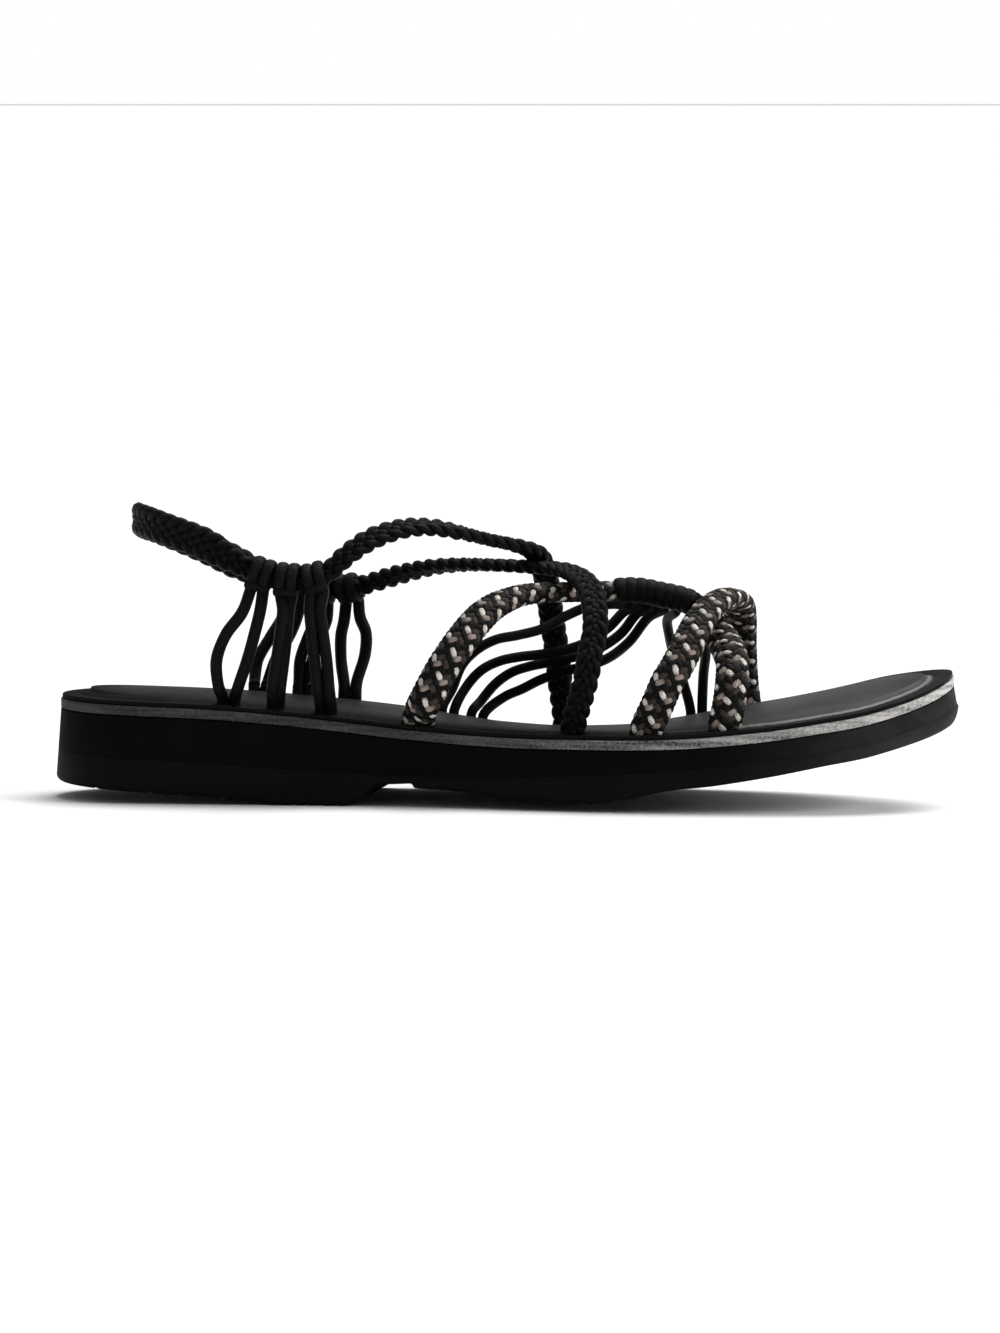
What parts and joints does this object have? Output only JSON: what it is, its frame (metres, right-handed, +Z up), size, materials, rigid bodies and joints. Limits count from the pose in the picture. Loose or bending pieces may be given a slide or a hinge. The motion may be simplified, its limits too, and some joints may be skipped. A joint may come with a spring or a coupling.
{
  "type": "rope sandal",
  "caption": "Low-heeled flat sandal with braided cord ankle straps, speckled rope instep and toe straps, a cord-wrapped centre and a padded leather footbed on a layered rubber sole.",
  "frame": {"origin": "on the floor under the middle of the sole's length and width", "axes": "+X from heel to toe, -Y to the inner side of the foot, +Y to the outer side, +Z up"},
  "size_m": [0.2546, 0.0866, 0.0827],
  "materials": {
    "rubber": "matt",
    "foam": "matt",
    "raw_leather": "matt raw edge",
    "leather": "soft satin",
    "black_cord": "matt woven sheath",
    "speckled_rope": "matt braid, black with cream specks"
  },
  "bodies": {
    "root": {"outsole": "rubber", "midsole": "foam", "insole_board": "raw_leather", "footbed": "leather", "braided_straps": "black_cord", "rear_rope": "speckled_rope", "front_rope": "speckled_rope", "toe_rope": "speckled_rope", "centre_wrap": "black_cord", "inner_loop_1": "black_cord", "inner_loop_2": "black_cord", "inner_loop_3": "black_cord", "outer_loop_1": "black_cord", "outer_loop_2": "black_cord", "outer_loop_3": "black_cord", "fan_cord_1": "black_cord", "fan_cord_2": "black_cord", "fan_cord_3": "black_cord", "fan_cord_4": "black_cord", "toe_cord_1": "black_cord", "toe_cord_2": "black_cord"}
  },
  "joints": []
}
